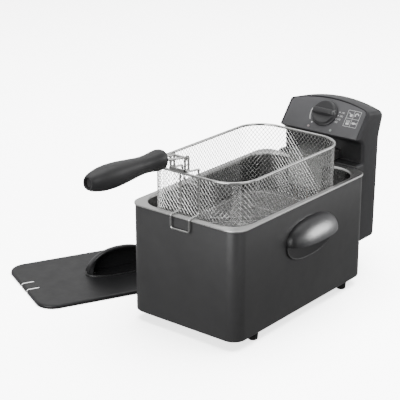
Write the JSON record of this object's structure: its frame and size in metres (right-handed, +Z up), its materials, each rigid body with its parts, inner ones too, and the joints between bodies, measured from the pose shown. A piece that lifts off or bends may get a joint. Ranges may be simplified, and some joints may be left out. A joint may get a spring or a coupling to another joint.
{
  "type": "deep fryer",
  "caption": "Deep fryer: steel housing, lift-out oil pan, lift-off control unit with heating element, wire basket hooked on the rim with folding handle, and a separate lid.",
  "frame": {"origin": "on the worktop, at the centre of the footprint of everything as it stands: fryer, extended basket handle and the lid lying beside it", "axes": "+Z up; +Y from the fryer's front, where the basket handle points out, to the control unit at the rear; +X towards the side away from the lid"},
  "size_m": [0.5002, 0.6107, 0.3056],
  "materials": {
    "painted_steel": "satin black paint",
    "stainless_pan": "satin",
    "chrome_wire": "bright plated",
    "plain_steel": "satin",
    "black_plastic": "satin",
    "head_plastic": "fine satin",
    "panel_plastic": "fine satin",
    "knob_plastic": "semi gloss",
    "grip_plastic": "satin",
    "rubber_black": "matte",
    "element_steel": "heat darkened",
    "copper_tube": "plain",
    "lamp_red": "clear lens",
    "lamp_green": "clear lens",
    "reset_red": "plain",
    "ceramic_white": "plain",
    "inner_plastic": "plain"
  },
  "bodies": {
    "housing": {"housing_shell": "painted_steel", "base_plate": "black_plastic", "foot_front_left": "rubber_black", "foot_front_right": "rubber_black", "foot_rear_left": "rubber_black", "foot_rear_right": "rubber_black", "foot_screws": "plain_steel", "side_grip_left": "black_plastic", "side_grip_right": "black_plastic", "grip_screws": "plain_steel", "guide_rails": "plain_steel"},
    "pan": {"oil_pan": "stainless_pan"},
    "control_unit": {"control_shell": "head_plastic", "control_panel": "panel_plastic", "column_cover": "black_plastic", "cover_screws": "plain_steel", "element_bracket": "plain_steel", "heating_element": "element_steel", "thermostat": "plain_steel", "capillary_tube": "copper_tube", "sensing_bulb": "plain_steel", "bulb_clip": "plain_steel", "power_lamp": "lamp_red", "ready_lamp": "lamp_green", "safety_switch": "inner_plastic", "thermal_cutout": "inner_plastic", "terminal_block": "ceramic_white", "cord_inlet_bush": "rubber_black"},
    "knob": {"thermostat_knob": "knob_plastic"},
    "reset": {"reset_button": "reset_red"},
    "basket": {"basket_mesh": "chrome_wire", "basket_rim": "chrome_wire", "basket_frame": "chrome_wire", "basket_hook": "chrome_wire", "handle_bracket": "chrome_wire"},
    "basket_handle": {"handle_wire": "chrome_wire", "handle_grip": "grip_plastic"},
    "lid": {"lid_plate": "painted_steel", "lid_handle": "black_plastic", "lid_screws": "plain_steel"}
  },
  "joints": [
    {"name": "pan_lift", "type": "slide", "parent": "housing", "child": "pan", "axis": [0, 0, 1], "range_m": [0, 0.2]},
    {"name": "control_lift", "type": "slide", "parent": "pan", "child": "control_unit", "axis": [0, 0, 1], "range_m": [0, 0.055]},
    {"name": "basket_lift", "type": "slide", "parent": "pan", "child": "basket", "axis": [0, 0, 1], "range_m": [0, 0.2]},
    {"name": "handle_fold", "type": "hinge", "parent": "basket", "child": "basket_handle", "pos_m": [0.12307, -0.11975, 0.279], "axis": [-1, 0, 0], "range_deg": [0, 150]},
    {"name": "knob_turn", "type": "hinge", "parent": "control_unit", "child": "knob", "pos_m": [0.12307, 0.24584, 0.25679], "axis": [0, -0.7815, 0.6239], "range_deg": [-240, 0]},
    {"name": "reset_press", "type": "slide", "parent": "control_unit", "child": "reset", "axis": [0, -1, 0], "range_m": [0, 0.002], "stiffness_N_per_m": 300},
    {"name": "lid_lift", "type": "slide", "parent": "housing", "child": "lid", "axis": [0, 0, 1], "range_m": [0, 0.08]}
  ]
}
